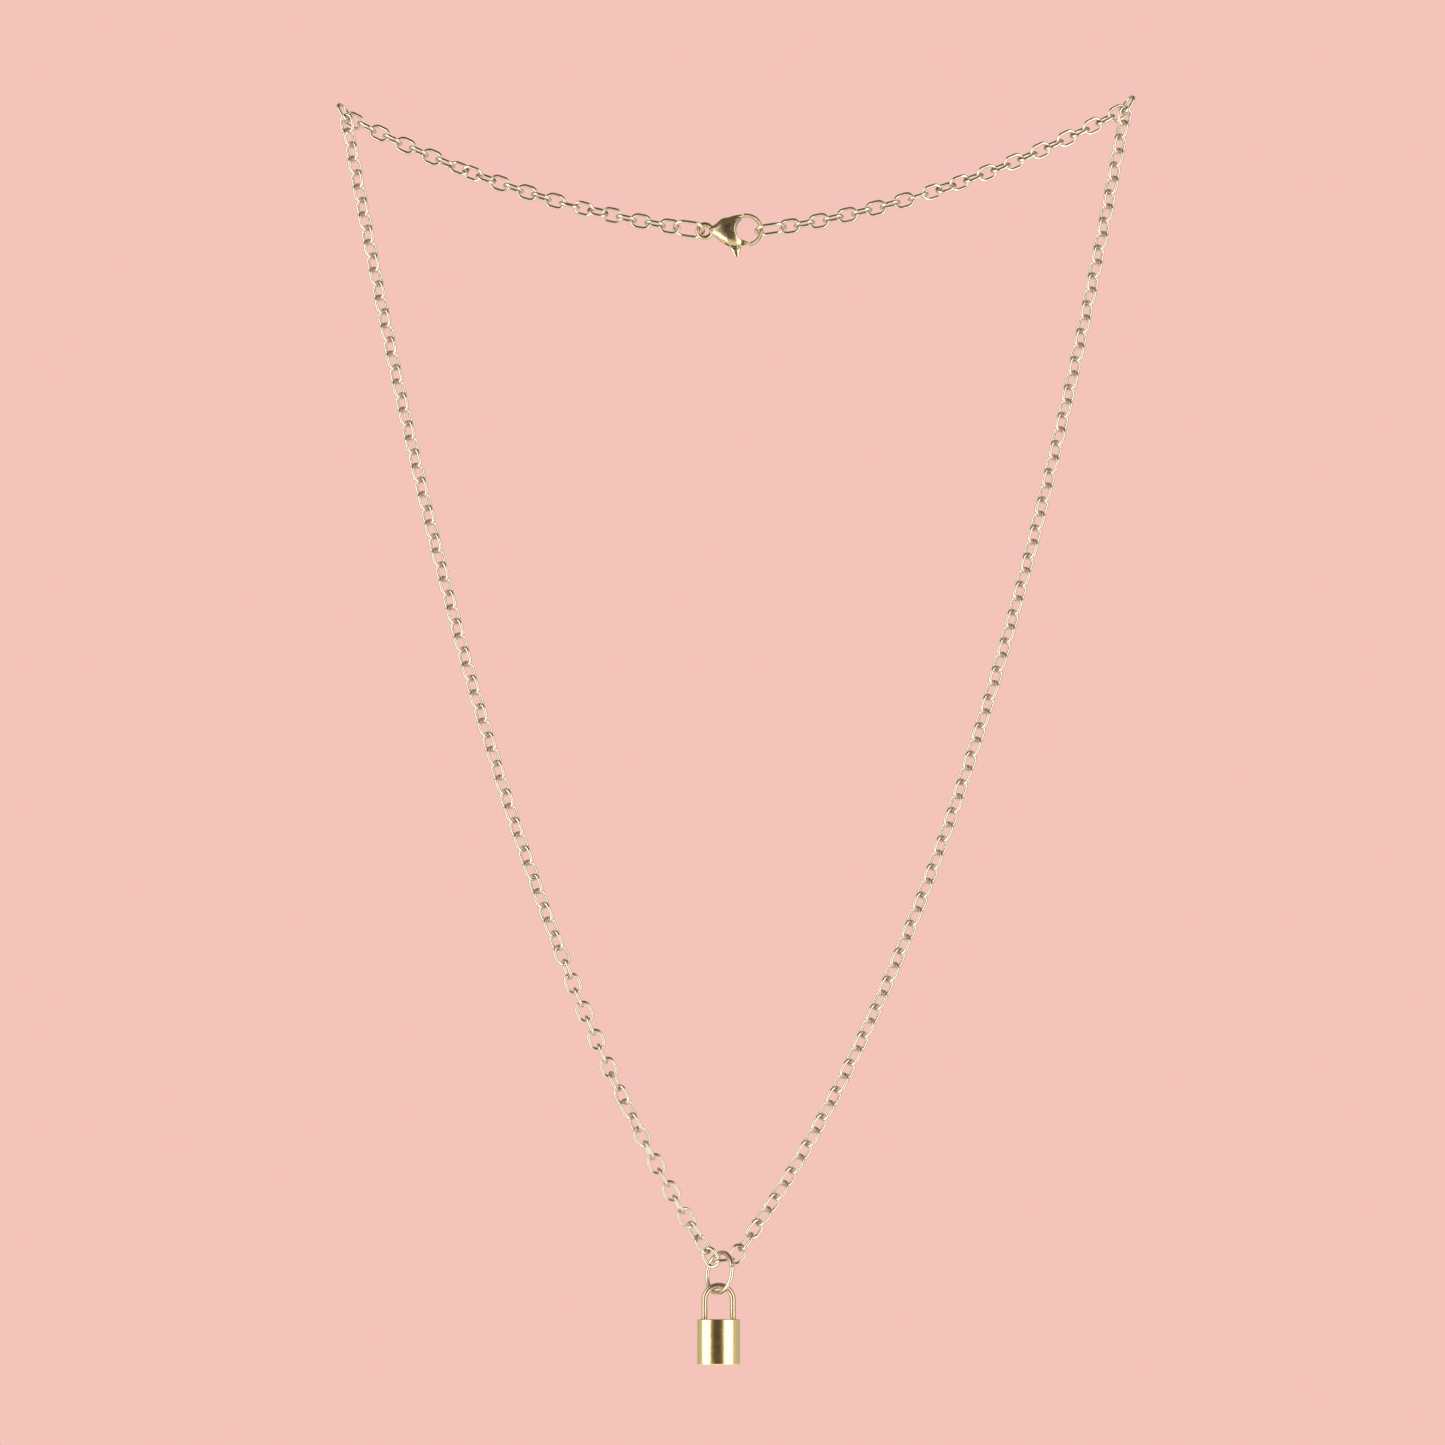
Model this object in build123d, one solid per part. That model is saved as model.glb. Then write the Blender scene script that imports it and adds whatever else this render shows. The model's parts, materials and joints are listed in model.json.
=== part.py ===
from build123d import *
import math
import os

# Padlock pendant necklace in gold metal: a cable chain, two oval end links, a lobster clasp,
# a jump ring and a small barrel padlock. Millimetres, +Z up, +X to the wearer's left as seen
# from the front, +Y away from the viewer. The necklace hangs in the XZ plane from its two
# corner links, and the origin lies midway between the two points it hangs from.

os.makedirs("parts", exist_ok=True)

# Clearance between loose links, and where an end link meets the clasp
link_gap = 0.13
end_gap = 0.27

# Cable chain
link_length = 4.037
link_width = 3.0
link_wire = 0.60
front_links_left_count = 82
front_links_right_count = 83
back_links_left_count = 24
back_links_right_count = 25
link_pull = 1.0
pendant_pull = 59.0
clasp_pull = 16.0
back_slack = 1.039
hold_rise = 1.5
steepest_slope = 50.0

# Middle link: the share of its load that its right end takes, and its roll
middle_share = 0.40
middle_roll = 88.8

# Corner links, which carry the necklace
corner_lean = 62.0
corner_roll = 120.0
corner_seat = 1.36
corner_side = 0.64
corner_fade_links = 4

# Oval end links beside the clasp
end_link_length = 6.05
end_link_width = 4.2
end_link_wire = 0.65

# Lobster clasp
clasp_ring_diameter = 3.4
clasp_ring_wire = 0.85
clasp_length = 12.45
clasp_body_set_back = 0.78
clasp_body_height = 6.4
clasp_body_thickness = 2.8
hook_diameter = 6.3
hook_bar = 0.70
hook_depth = 1.3
hook_rise = 0.18
hook_start_angle = 118.0
hook_end_angle = -100.0
lever_thickness = 0.8
lever_side_gap = 0.1
lever_room = 0.22
lever_elbow_angle = -130.0
lever_tip_gap = 0.1
lever_hub_diameter = 1.4
lever_back = 2.95
lever_drop = 1.58
lever_reach = 3.70
lever_tab_drop = 3.7
lever_tab_width = 1.7
lever_tab_out = 0.78
pin_diameter = 0.5
pin_gap = 0.05

# Jump ring: its turn about the vertical, how far round from its top it rests on the middle
# link, and how far along that link's side
ring_diameter = 7.9
ring_wire = 0.80
ring_turn = 50.1
ring_rock = 46.0
ring_slide = 0.95
ring_slit = 0.06
ring_slit_angle = 7.0

# Padlock, whose bow rests a little to the left of the ring's lowest point
lock_width = 7.5
lock_height = 7.85
lock_depth = 5.2
lock_edge = 0.2
shackle_width = 6.0
shackle_wire = 1.03
shackle_rise = 6.3
shackle_socket = 1.2
shackle_fit = 0.05
shackle_gap = 0.33
shackle_slide = 0.15

# Turn of the links about the chain line: share of the run, degrees of twist added to the
# quarter turn from link to link. Zero shows every other link face on.
front_twist = [
    ("share", "degrees"),
    (0.000, -30),
    (0.012, -45),
    (0.350, -45),
    (0.372, -90),
    (0.402, -90),
    (0.421, -135),
    (0.434, -150),
    (0.448, -180),
    (0.464, -178),
    (0.473, -165),
    (0.494, -104),
    (0.503, -84),
    (0.509, -115),
    (0.515, -127),
    (0.521, -133),
    (0.982, -135),
    (1.000, -120),
]
back_left_twist = [
    ("share", "degrees"),
    (0.00, -20),
    (0.05, 0),
    (0.30, 0),
    (0.38, 45),
    (0.42, 45),
    (0.50, 90),
    (0.66, 90),
    (0.74, 45),
    (0.78, 45),
    (0.86, 90),
    (0.96, 90),
    (1.00, 90),
]
back_right_twist = [
    ("share", "degrees"),
    (0.00, 0),
    (0.36, 0),
    (0.43, -45),
    (0.49, -45),
    (0.55, -30),
    (0.95, -30),
    (1.00, -20),
]
end_link_left_roll = -60.0
end_link_right_roll = -80.0

# Clasp body, from the ring to the hook: share of its length, then its middle height,
# height and thickness as shares of the body's own
clasp_sections = [
    ("along", "middle", "height", "thickness"),
    (0.00, 0.00, 0.27, 0.52),
    (0.14, 0.01, 0.38, 0.68),
    (0.34, 0.02, 0.67, 0.89),
    (0.57, -0.02, 0.86, 1.00),
    (0.81, -0.01, 0.97, 0.94),
    (1.00, 0.00, 0.98, 0.72),
]

# Derived sizes
link_pitch = link_length - 2 * link_wire - link_gap
end_link_pitch = end_link_length - 2 * end_link_wire - end_gap
clasp_pitch = clasp_length - clasp_ring_wire - hook_bar - end_gap
back_length = (
    (back_links_left_count + back_links_right_count) * link_pitch + 2 * end_link_pitch + clasp_pitch
)
hold_spacing = back_length / back_slack
contact = link_wire + link_gap
ring_radius = (ring_diameter - ring_wire) / 2


def rows(table):
    """The rows of a table with named columns, without its heading."""
    return table[1:]


def rod_volume(length, width, wire):
    """Metal in a round-wire link of straight sides and round ends."""
    centre_line = math.pi * (width - wire) + 2 * (length - width)
    return centre_line * math.pi * wire**2 / 4


def twist_at(table, share):
    """Twist in degrees at a share of a run, straight between the table's rows."""
    points = rows(table)
    for (a, low), (b, high) in zip(points, points[1:]):
        if share <= b:
            return low + (high - low) * (share - a) / (b - a)
    return points[-1][1]


def walk(start, pull, lift, lengths, loads):
    """Corners of a hanging row of stiff pieces, from the pull along it and the first lift.

    The load of a piece is a pair, what its start carries and what its end carries.
    """
    points = [start]
    x, z = start
    for length, (near, far) in zip(lengths, loads):
        lift += near
        tension = math.hypot(pull, lift)
        x += length * pull / tension
        z += length * lift / tension
        lift += far
        points.append((x, z))
    return points


def hang(start, end, lengths, loads):
    """Corners of a row of stiff pieces that hangs at rest between two points."""
    total = sum(near + far for near, far in loads)

    def settle(pull):
        low, high = -total - steepest_slope * pull, steepest_slope * pull
        for _ in range(60):
            lift = (low + high) / 2
            if walk(start, pull, lift, lengths, loads)[-1][1] > end[1]:
                high = lift
            else:
                low = lift
        return walk(start, pull, lift, lengths, loads)

    slack, tight = 0.001, 100000.0
    for _ in range(60):
        pull = math.sqrt(slack * tight)
        if settle(pull)[-1][0] > end[0]:
            tight = pull
        else:
            slack = pull
    return settle(pull)


def unit(vector):
    """The vector at length one."""
    return vector / vector.length


def side_step(count, number, side):
    """Sideways place of a chain corner, which fades to the middle away from both ends."""
    near = min(number, count - number)
    return side * max(0.0, 1 - near / corner_fade_links)


def spots(corners, side):
    """Chain corners as points, moved sideways near the corner links."""
    last = len(corners) - 1
    return [Vector(x, side_step(last, i, side), z) for i, (x, z) in enumerate(corners)]


def seat(a, b, roll):
    """Place for a piece whose length runs from a to b, rolled about it by degrees.

    Roll 0 lies in the XZ plane, seen face on, and roll 90 lies edge on.
    """
    along = unit(b - a)
    upright = unit(Vector(-along.Z, 0, along.X))
    across = unit(along.cross(upright))
    angle = math.radians(roll)
    width = upright * math.cos(angle) - across * math.sin(angle)
    return Plane(origin=(a + b) / 2, x_dir=along, z_dir=along.cross(width))


def oval_link(length, width, wire):
    """Round-wire link in XY, centred, long side along X."""
    bend = (width - wire) / 2
    side = length - width
    end = revolve(Plane.XZ * Pos(bend, 0) * Circle(wire / 2), Axis.Z, 180)
    upper = Pos(-side / 2, 0) * Rot(0, 0, 90) * end
    lower = Pos(side / 2, 0) * Rot(0, 0, -90) * end
    leg = Rot(0, 90, 0) * Cylinder(wire / 2, side)
    return upper + lower + Pos(0, bend) * leg + Pos(0, -bend) * leg


def chain_run(points, table):
    """Planes of a run of links between successive points, rolled as its table says."""
    last = len(points) - 2
    rolls = [90 * i + twist_at(table, i / last) for i in range(last + 1)]
    return [seat(a, b, roll) for a, b, roll in zip(points, points[1:], rolls)]


def corner_link(hold, side):
    """Lower wire centre, direction and plane of a corner link; side is -1 left, 1 right."""
    lean = math.radians(corner_lean)
    up = Vector(side * math.cos(lean), 0, math.sin(lean))
    low = hold - up * (link_length - 1.5 * link_wire)
    plane = seat(low, low + up * (link_length - link_wire), -side * corner_roll)
    return low, up, plane


def run_start(low, up, toward):
    """Where a run that hooks into a corner link begins, for its first direction."""
    wire_centre = low + up * corner_seat * contact
    start = wire_centre + toward * contact / 2
    return start.X, start.Z


def hang_between(left, right, lengths, loads):
    """Corners of a run whose end links hook into the two corner links."""
    out = Vector(0, 0, -1)
    back = Vector(0, 0, -1)
    for _ in range(4):
        start = run_start(left[0], left[1], out)
        end = run_start(right[0], right[1], back)
        corners = hang(start, end, lengths, loads)
        out = unit(Vector(corners[1][0] - start[0], 0, corners[1][1] - start[1]))
        back = unit(Vector(corners[-2][0] - end[0], 0, corners[-2][1] - end[1]))
    return corners


def middle_ends(corners):
    """Wire centres at the two ends of the middle link, from the four corners around it."""
    before, left, right, after = [Vector(x, 0, z) for x, z in corners]
    left += unit(before - left) * contact / 2
    right += unit(after - right) * contact / 2
    return left, right


def ring_seat(hook, line):
    """Centre, sideways and upward directions of the jump ring that rests on a wire.

    The wire has its centre at hook and runs along line. The ring leans about it until the
    ring's lowest point hangs straight under the wire.
    """
    turn, rock = math.radians(ring_turn), math.radians(ring_rock)
    side = Vector(math.cos(turn), -math.sin(turn), 0)
    up = Vector(0, 0, 1)
    touch = unit(line.cross(side * math.cos(rock) - up * math.sin(rock)))
    reach = math.copysign((link_wire + ring_wire) / 2 + link_gap, touch.Z)
    arm = touch * reach - (side * math.sin(rock) + up * math.cos(rock)) * ring_radius
    low = arm - up * ring_radius
    lean = math.degrees(math.atan(-low.Y / line.cross(low).Y))
    wire = Axis((0, 0, 0), line)
    return hook + arm.rotate(wire, lean), side.rotate(wire, lean), up.rotate(wire, lean)


def clasp_places():
    """Hook centre, lever pivot and hook radius, in the clasp's plane with its ring at X 0."""
    radius = hook_diameter / 2
    hook = Vector(clasp_length - radius, hook_rise)
    pivot = hook - Vector(lever_back, lever_drop)
    return hook, pivot, radius


def clasp_claw():
    """Clasp ring, domed body and hook bar, one cast piece with the lever's pin in its slot."""
    hook, pivot, radius = clasp_places()
    ring = Torus((clasp_ring_diameter - clasp_ring_wire) / 2, clasp_ring_wire / 2)
    start = clasp_ring_diameter - clasp_ring_wire * 0.8
    length = hook.X - clasp_body_set_back - start
    sections = []
    for along, middle, height, thickness in rows(clasp_sections):
        origin = (start + along * length, middle * clasp_body_height, 0)
        plane = Plane(origin=origin, x_dir=(0, 1, 0), z_dir=(1, 0, 0))
        tall, thick = height * clasp_body_height, thickness * clasp_body_thickness
        sections.append(plane * Ellipse(tall / 2, thick / 2))
    bar = Plane.XZ * Pos(radius - hook_bar / 2, 0) * Ellipse(hook_bar / 2, hook_depth / 2)
    bar = Rot(0, 0, hook_end_angle) * revolve(bar, Axis.Z, hook_start_angle - hook_end_angle)
    slot_width = lever_thickness + 2 * lever_side_gap
    slot_left = pivot.X - lever_hub_diameter / 2 - lever_room
    slot_top = pivot.Y + lever_hub_diameter / 2 + lever_room
    slot = Pos(slot_left, slot_top) * Box(
        clasp_length, clasp_body_height, slot_width, align=(Align.MIN, Align.MAX, Align.CENTER)
    )
    body = loft(sections) - Pos(hook) * Cylinder(radius - hook_bar, clasp_length)
    tip = Pos(pivot) * Cylinder(lever_reach + lever_tip_gap, clasp_length)
    pin = Pos(pivot) * Cylinder(pin_diameter / 2, clasp_body_thickness * 0.8)
    return Pos(clasp_ring_diameter / 2, 0) * ring + (body - slot) + (Pos(hook) * bar - tip) + pin


def clasp_lever():
    """Gate, hub and thumb tab in one plate that turns on the clasp's pin."""
    hook, pivot, radius = clasp_places()
    hub = Pos(pivot) * Circle(lever_hub_diameter / 2)
    middle = radius - hook_bar / 2
    turn = math.radians(lever_elbow_angle)
    elbow = hook + Vector(middle * math.cos(turn), middle * math.sin(turn))
    arm = make_hull((hub + Pos(elbow) * Circle(hook_bar / 2)).edges())
    band = Pos(hook) * (Circle(radius) - Circle(radius - hook_bar))
    wedge = Pos(hook) * Polygon(
        (0, 0),
        (2 * radius * math.cos(turn), 2 * radius * math.sin(turn)),
        (2 * radius, -2 * radius),
        align=None,
    )
    gate = (band & wedge) & (Pos(pivot) * Circle(lever_reach))
    root = pivot + Vector(lever_tab_out, -lever_tab_drop * 0.45)
    tip = pivot + Vector(lever_tab_out * 1.6, lever_tab_width * 0.18 - lever_tab_drop)
    tab = Pos(root) * Circle(lever_tab_width / 2) + Pos(tip) * Circle(lever_tab_width * 0.18)
    plate = arm + gate + make_hull(tab.edges())
    plate -= Pos(pivot) * Circle(pin_diameter / 2 + pin_gap)
    return extrude(plate, lever_thickness / 2, both=True)


def jump_ring():
    """Round-wire ring with the fine cut where it was closed."""
    cut = Pos(ring_radius, 0) * Box(2 * ring_wire, ring_slit, 2 * ring_wire)
    return Torus(ring_radius, ring_wire / 2) - Rot(0, 0, ring_slit_angle) * cut


def padlock_body(top):
    """Oval barrel under a point, with softened ends and the two sockets of the shackle."""
    barrel = extrude(Pos(top) * Ellipse(lock_width / 2, lock_depth / 2), -lock_height)
    barrel = fillet(barrel.edges(), lock_edge)
    leg = (shackle_width - shackle_wire) / 2
    depth = shackle_socket + shackle_fit
    socket = Cylinder(shackle_wire / 2 + shackle_fit, 2 * depth)
    return barrel - Pos(top) * (Pos(-leg, 0) * socket + Pos(leg, 0) * socket)


def padlock_shackle(top):
    """Round-wire bow whose two legs stand in the body's sockets."""
    leg = (shackle_width - shackle_wire) / 2
    height = shackle_rise - shackle_width / 2
    bow = revolve(Plane.XY * Pos(leg, 0) * Circle(shackle_wire / 2), Axis.Y, -180)
    straight = Cylinder(
        shackle_wire / 2, height + shackle_socket, align=(Align.CENTER, Align.CENTER, Align.MAX)
    )
    legs = Pos(-leg, 0) * straight + Pos(leg, 0) * straight
    return Pos(top) * Pos(0, 0, height) * (bow + legs)


# Corner links at the two points that the necklace hangs from
left_hold = Vector(-hold_spacing / 2, 0, -hold_rise / 2)
right_hold = Vector(hold_spacing / 2, 0, hold_rise / 2)
left_corner = corner_link(left_hold, -1)
right_corner = corner_link(right_hold, 1)

# Front run: two sides of chain with the middle link that carries the pendant on its side
front_count = front_links_left_count + 1 + front_links_right_count
n = front_links_left_count
pendant_load = pendant_pull + link_pull
front_loads = [(link_pull / 2, link_pull / 2)] * front_count
front_loads[n] = (pendant_load * (1 - middle_share), pendant_load * middle_share)
front_lengths = [link_pitch] * front_count
for _ in range(3):
    front_route = hang_between(left_corner, right_corner, front_lengths, front_loads)
    middle_left, middle_right = middle_ends(front_route[n - 1 : n + 3])
    front_lengths[n] += link_length - link_wire - (middle_right - middle_left).length
side = corner_side * contact
front_planes = chain_run(spots(front_route, -side), front_twist)
middle = seat(middle_left, middle_right, middle_roll)
front_planes[n] = middle

# Back run: chain, end link, clasp, end link, chain
link_metal = rod_volume(link_length, link_width, link_wire)
end_pull = link_pull * rod_volume(end_link_length, end_link_width, end_link_wire) / link_metal
left_count, right_count = back_links_left_count, back_links_right_count
back_lengths = [link_pitch] * left_count + [end_link_pitch, clasp_pitch, end_link_pitch]
back_lengths += [link_pitch] * right_count
back_pulls = [link_pull] * left_count + [end_pull, clasp_pull, end_pull]
back_pulls += [link_pull] * right_count
back_loads = [(pull / 2, pull / 2) for pull in back_pulls]
back_route = hang_between(left_corner, right_corner, back_lengths, back_loads)
back_spots = spots(back_route, side)
n = left_count
back_left_planes = chain_run(back_spots[: n + 1], back_left_twist)
back_right_planes = chain_run(back_spots[n + 3 :], back_right_twist)
end_left_plane = seat(back_spots[n], back_spots[n + 1], end_link_left_roll)
clasp_plane = seat(back_spots[n + 1], back_spots[n + 2], 0)
end_right_plane = seat(back_spots[n + 2], back_spots[n + 3], end_link_right_roll)

# Pendant: the jump ring on the middle link's lower side, the padlock on the ring
down = middle.y_dir if middle.y_dir.Z < 0 else -middle.y_dir
swing_point = middle.origin + down * (link_width - link_wire) / 2 + middle.x_dir * ring_slide
ring_centre, ring_side, ring_up = ring_seat(swing_point, middle.x_dir)
ring_plane = Plane(origin=ring_centre, x_dir=ring_side, z_dir=ring_side.cross(ring_up))
lock_point = ring_centre - ring_up * ring_radius
bow_top = lock_point + Vector(-shackle_slide, 0, ring_wire / 2 + shackle_gap + shackle_wire)
lock_top = bow_top - Vector(0, 0, shackle_rise)

link = oval_link(link_length, link_width, link_wire)
end_link = oval_link(end_link_length, end_link_width, end_link_wire)
clasp_shift = Pos(-(clasp_length + clasp_ring_wire - hook_bar) / 2, 0)
n = front_links_left_count
left_links = front_planes[:n] + [left_corner[2]] + back_left_planes
right_links = front_planes[n:] + [right_corner[2]] + back_right_planes

nodes = {
    "chain_left": Compound([plane * link for plane in left_links]),
    "chain_right": Compound([plane * link for plane in right_links]),
    "end_link_left": end_left_plane * end_link,
    "end_link_right": end_right_plane * end_link,
    "clasp_body": clasp_plane * clasp_shift * clasp_claw(),
    "clasp_lever": clasp_plane * clasp_shift * clasp_lever(),
    "jump_ring": ring_plane * jump_ring(),
    "padlock_body": padlock_body(lock_top),
    "padlock_shackle": padlock_shackle(lock_top),
}
for name, shape in nodes.items():
    export_step(shape, f"parts/{name}.step")

lever_pivot = (clasp_plane * clasp_shift * Pos(clasp_places()[1])).position
print("pitch", round(link_pitch, 3), "hold spacing", round(hold_spacing, 2))
link_count = front_count + left_count + right_count + 2
print("links", link_count, "loop length", round(link_pitch * link_count, 1))
print("ring swing at", swing_point, "about", middle.x_dir)
print("padlock swing at", lock_point, "about", ring_side)
print("lever pivot at", lever_pivot)
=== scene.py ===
"""Padlock pendant necklace in gold metal: finishes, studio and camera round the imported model."""

import json
import logging
import math
from collections.abc import Callable
from dataclasses import dataclass
from enum import Enum

import bmesh
import bpy
from mathutils import Matrix, Vector


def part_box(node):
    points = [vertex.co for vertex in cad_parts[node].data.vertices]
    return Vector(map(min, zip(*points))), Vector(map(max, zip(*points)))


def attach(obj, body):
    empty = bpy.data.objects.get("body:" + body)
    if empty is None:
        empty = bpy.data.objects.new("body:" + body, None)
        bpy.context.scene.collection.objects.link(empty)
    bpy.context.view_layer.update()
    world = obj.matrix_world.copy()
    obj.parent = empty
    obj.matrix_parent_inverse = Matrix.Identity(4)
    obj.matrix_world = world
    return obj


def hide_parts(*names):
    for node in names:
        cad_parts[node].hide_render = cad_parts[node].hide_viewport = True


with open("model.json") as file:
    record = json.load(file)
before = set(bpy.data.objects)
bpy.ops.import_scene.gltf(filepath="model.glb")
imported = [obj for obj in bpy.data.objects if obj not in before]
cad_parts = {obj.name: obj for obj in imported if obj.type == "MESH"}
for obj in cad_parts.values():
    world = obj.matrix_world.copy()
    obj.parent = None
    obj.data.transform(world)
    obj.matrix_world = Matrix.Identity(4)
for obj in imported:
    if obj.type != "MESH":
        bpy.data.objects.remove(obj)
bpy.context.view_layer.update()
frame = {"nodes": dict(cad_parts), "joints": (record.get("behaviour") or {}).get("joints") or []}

log = logging.getLogger("necklace")

Triple = tuple[float, float, float]

# Metres in a millimetre, and side of the picture in pixels
MM = 0.001
IMAGE_SIDE = 1445

# Distances within which a corner counts as on a plane or on a circle, in millimetres
ON_PLANE = 0.001
ON_CIRCLE = 0.01

# Length of a cutter that goes right through the clasp, in millimetres
THROUGH = 4.0

# Share of green and blue in the dimmest wall of the tent, and the brightness of a white one
DIM_GREEN = 0.74
DIM_BLUE = 0.38
WHITE_FROM = 0.5


class Polish(Enum):
    """How a metal surface was finished, as its roughness low and high."""

    TUMBLED = (0.20, 0.28)
    SATIN = (0.26, 0.34)
    BUFFED = (0.18, 0.23)
    CAST = (0.20, 0.30)


@dataclass(frozen=True)
class GoldFinish:
    """Gold-plated metal with slight tone drift, smudges and tiny dents.

    Attributes:
        name: Material name.
        slot: Material slot of the record that it stands for.
        light: Colour of clean plating, linear.
        deep: Colour where the plating is warmer, linear.
        polish: Surface finish.
        dent_strength: Strength of the tiny dents.
        grain_mm: Size of the tone patches, in millimetres.
        smudge_share: Size of the roughness patches as a share of the grain.
        smudge_span: Noise values that stand for the lowest and the highest roughness.
        dent_share: Size of the dents as a share of the grain.
        dent_mm: Depth of the dents, in millimetres.
    """

    name: str
    slot: str
    light: Triple
    deep: Triple
    polish: Polish
    dent_strength: float = 0.04
    grain_mm: float = 1.6
    smudge_share: float = 0.45
    smudge_span: tuple[float, float] = (0.35, 0.70)
    dent_share: float = 0.3
    dent_mm: float = 0.05

    def build(self) -> bpy.types.Material:
        """Make the node material.

        Returns:
            The new material.
        """
        material = bpy.data.materials.new(self.name)
        material.use_nodes = True
        tree = material.node_tree
        shader = tree.nodes["Principled BSDF"]
        shader.inputs["Metallic"].default_value = 1.0
        shader.inputs["Specular IOR Level"].default_value = 0.5
        place = tree.nodes.new("ShaderNodeTexCoord")

        tone = self._noise(tree, place, self.grain_mm, detail=3.0)
        mix = tree.nodes.new("ShaderNodeMix")
        mix.data_type = "RGBA"
        mix.inputs["A"].default_value = (*self.light, 1.0)
        mix.inputs["B"].default_value = (*self.deep, 1.0)
        tree.links.new(tone.outputs["Fac"], mix.inputs["Factor"])
        tree.links.new(mix.outputs["Result"], shader.inputs["Base Color"])

        smudge = self._noise(tree, place, self.grain_mm * self.smudge_share, detail=5.0)
        spread = tree.nodes.new("ShaderNodeMapRange")
        spread.inputs["From Min"].default_value = self.smudge_span[0]
        spread.inputs["From Max"].default_value = self.smudge_span[1]
        spread.inputs["To Min"].default_value = self.polish.value[0]
        spread.inputs["To Max"].default_value = self.polish.value[1]
        tree.links.new(smudge.outputs["Fac"], spread.inputs["Value"])
        tree.links.new(spread.outputs["Result"], shader.inputs["Roughness"])

        dents = self._noise(tree, place, self.grain_mm * self.dent_share, detail=1.0)
        bump = tree.nodes.new("ShaderNodeBump")
        bump.inputs["Strength"].default_value = self.dent_strength
        bump.inputs["Distance"].default_value = self.dent_mm * MM
        tree.links.new(dents.outputs["Fac"], bump.inputs["Height"])
        tree.links.new(bump.outputs["Normal"], shader.inputs["Normal"])
        return material

    def _noise(
        self, tree: bpy.types.NodeTree, place: bpy.types.Node, size_mm: float, detail: float
    ) -> bpy.types.Node:
        """Add a noise on object coordinates.

        Args:
            tree: Node tree to add to.
            place: Texture coordinate node.
            size_mm: Size of one patch, in millimetres.
            detail: Octaves of detail.

        Returns:
            The noise node.
        """
        noise = tree.nodes.new("ShaderNodeTexNoise")
        noise.inputs["Scale"].default_value = 1.0 / (size_mm * MM)
        noise.inputs["Detail"].default_value = detail
        tree.links.new(place.outputs["Object"], noise.inputs["Vector"])
        return noise


CHAIN_GOLD = GoldFinish(
    "chain_gold", "gold_chain", (0.72, 0.61, 0.46), (0.65, 0.51, 0.34), Polish.TUMBLED
)
CLASP_GOLD = GoldFinish(
    "clasp_gold", "gold_clasp", (0.66, 0.53, 0.30), (0.56, 0.42, 0.22), Polish.CAST
)
RING_GOLD = GoldFinish(
    "ring_gold", "gold_pendant", (0.74, 0.61, 0.43), (0.67, 0.52, 0.32), Polish.TUMBLED
)
# Same plating as the pendant's gold, darkened: the lower colour is painted shade on the shackle,
# not a tone of its own
SHACKLE_SHADED_GOLD = GoldFinish(
    "shackle_shaded_gold", "gold_pendant", (0.60, 0.46, 0.29), (0.55, 0.40, 0.22), Polish.SATIN
)
PENDANT_GOLD = GoldFinish(
    "pendant_gold",
    "gold_pendant",
    (0.91, 0.71, 0.33),
    (0.86, 0.66, 0.28),
    Polish.BUFFED,
    dent_strength=0.02,
)


def dress(obj: bpy.types.Object, material: bpy.types.Material) -> None:
    """Give an object one material in its first slot.

    Args:
        obj: Mesh object.
        material: Material to assign.
    """
    if obj.material_slots:
        obj.material_slots[0].material = material
    else:
        obj.data.materials.append(material)


class Element(Enum):
    """Mesh elements that a step selects."""

    EDGE = "EDGE"
    FACE = "FACE"


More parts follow.
